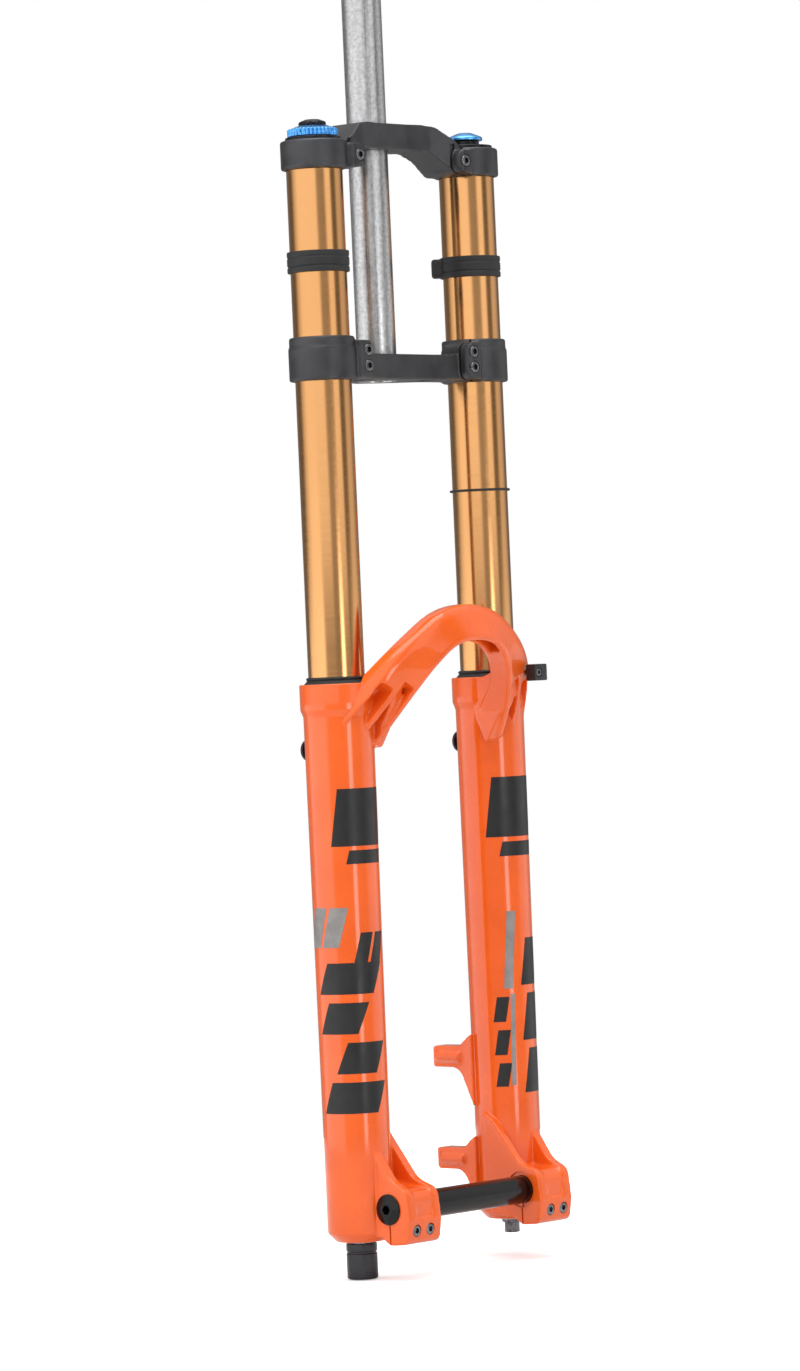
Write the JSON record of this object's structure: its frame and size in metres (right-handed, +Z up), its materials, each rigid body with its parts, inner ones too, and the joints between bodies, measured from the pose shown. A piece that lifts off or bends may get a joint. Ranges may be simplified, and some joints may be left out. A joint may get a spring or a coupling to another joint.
{
  "type": "bicycle suspension fork",
  "caption": "Telescopic bicycle fork with upper and lower crowns: sliding lower legs joined by an arch, clamped stanchions, steerer, through axle and adjuster knobs.",
  "frame": {"origin": "on the steerer's axis, at the crown race seat on top of the lower crown", "axes": "+Z up along the steerer, -Y towards the front of the bicycle, +X towards the bicycle's left leg (the one with the brake posts)"},
  "size_m": [0.2154, 0.1183, 0.9545],
  "materials": {
    "orange_paint": "gloss orange paint over a magnesium casting",
    "gold_anodised": "hard anodised, gold-bronze, polished under the coating",
    "crown_black": "forged and black anodised, satin",
    "black_anodised": "turned and black anodised, satin",
    "raw_aluminium": "bare drawn tube, fine lengthwise grain",
    "blue_anodised": "turned and blue anodised, bright",
    "black_rubber": "matte moulded rubber",
    "dark_steel": "dark oxide steel",
    "black_plastic": "moulded, fine texture",
    "oil_foam": "open-cell foam"
  },
  "bodies": {
    "upper": {"steerer_tube": "raw_aluminium", "lower_crown": "crown_black", "upper_crown": "crown_black", "stanchion_left": "gold_anodised", "stanchion_right": "gold_anodised", "lower_crown_bolt_1": "dark_steel", "lower_crown_bolt_2": "dark_steel", "lower_crown_bolt_3": "dark_steel", "lower_crown_bolt_4": "dark_steel", "upper_crown_bolt_left": "dark_steel", "upper_crown_bolt_right": "dark_steel", "steerer_clamp_bolt": "dark_steel", "frame_bumper_left": "black_rubber", "frame_bumper_right": "black_rubber", "damper_top_cap": "black_anodised", "air_top_cap": "black_anodised", "air_valve": "dark_steel", "damper_cartridge": "raw_aluminium", "damper_seal_head": "black_anodised", "air_seal_head": "black_anodised"},
    "lowers": {"lower_casting": "orange_paint", "wiper_seal_left": "black_rubber", "wiper_seal_right": "black_rubber", "foam_ring_left": "oil_foam", "foam_ring_right": "oil_foam", "upper_bushing_left": "dark_steel", "upper_bushing_right": "dark_steel", "lower_bushing_left": "dark_steel", "lower_bushing_right": "dark_steel", "damper_rod": "dark_steel", "damper_piston": "black_anodised", "air_shaft": "dark_steel", "air_piston": "black_anodised", "damper_foot_stud": "dark_steel", "air_foot_bolt": "dark_steel", "crush_washer_left": "raw_aluminium", "crush_washer_right": "raw_aluminium", "axle_pinch_bolt_1": "dark_steel", "axle_pinch_bolt_2": "dark_steel", "axle_pinch_bolt_3": "dark_steel", "axle_pinch_bolt_4": "dark_steel", "hose_guide": "black_plastic", "hose_guide_screw": "dark_steel"},
    "oring": {"travel_oring": "black_rubber"},
    "high_compression": {"compression_high_knob": "blue_anodised"},
    "low_compression": {"compression_low_knob": "black_anodised"},
    "valve_cover": {"air_cap": "blue_anodised"},
    "through_axle": {"axle": "black_anodised"},
    "rebound_cover": {"rebound_cap": "black_anodised"},
    "high_rebound": {"rebound_high_knob": "blue_anodised"},
    "low_rebound": {"rebound_low_knob": "blue_anodised"},
    "bleeder_left": {"bleeder_button_left": "black_plastic"},
    "bleeder_right": {"bleeder_button_right": "black_plastic"}
  },
  "joints": [
    {"name": "lowers_slide", "type": "slide", "parent": "upper", "child": "lowers", "axis": [0, 0, 1], "range_m": [0, 0.203], "stiffness_N_per_m": 9000, "springref_m": -0.005},
    {"name": "oring_slide", "type": "slide", "parent": "upper", "child": "oring", "axis": [0, 0, 1], "range_m": [0, 0.075]},
    {"name": "compression_high_turn", "type": "hinge", "parent": "upper", "child": "high_compression", "pos_m": [-0.081, -0.022, 0.155], "axis": [0, 0, 1], "range_deg": [0, 270]},
    {"name": "compression_low_turn", "type": "hinge", "parent": "upper", "child": "low_compression", "pos_m": [-0.081, -0.022, 0.162], "axis": [0, 0, 1], "range_deg": [0, 330]},
    {"name": "air_cap_lift", "type": "slide", "parent": "upper", "child": "valve_cover", "axis": [0, 0, 1], "range_m": [0, 0.03]},
    {"name": "axle_pull", "type": "slide", "parent": "lowers", "child": "through_axle", "axis": [-1, 0, 0], "range_m": [0, 0.18]},
    {"name": "rebound_cap_pull", "type": "slide", "parent": "lowers", "child": "rebound_cover", "axis": [0, 0, -1], "range_m": [0, 0.03]},
    {"name": "rebound_high_turn", "type": "hinge", "parent": "lowers", "child": "high_rebound", "pos_m": [-0.081, -0.022, -0.637], "axis": [0, 0, 1], "range_deg": [0, 270]},
    {"name": "rebound_low_turn", "type": "hinge", "parent": "lowers", "child": "low_rebound", "pos_m": [-0.081, -0.022, -0.645], "axis": [0, 0, 1], "range_deg": [0, 330]},
    {"name": "bleeder_left_press", "type": "slide", "parent": "lowers", "child": "bleeder_left", "axis": [0, -1, 0], "range_m": [0, 0.0015], "stiffness_N_per_m": 300},
    {"name": "bleeder_right_press", "type": "slide", "parent": "lowers", "child": "bleeder_right", "axis": [0, -1, 0], "range_m": [0, 0.0015], "stiffness_N_per_m": 300}
  ],
  "couplings": [
    {"joint": "oring_slide", "follows": "lowers_slide", "ratio": 0.368}
  ]
}
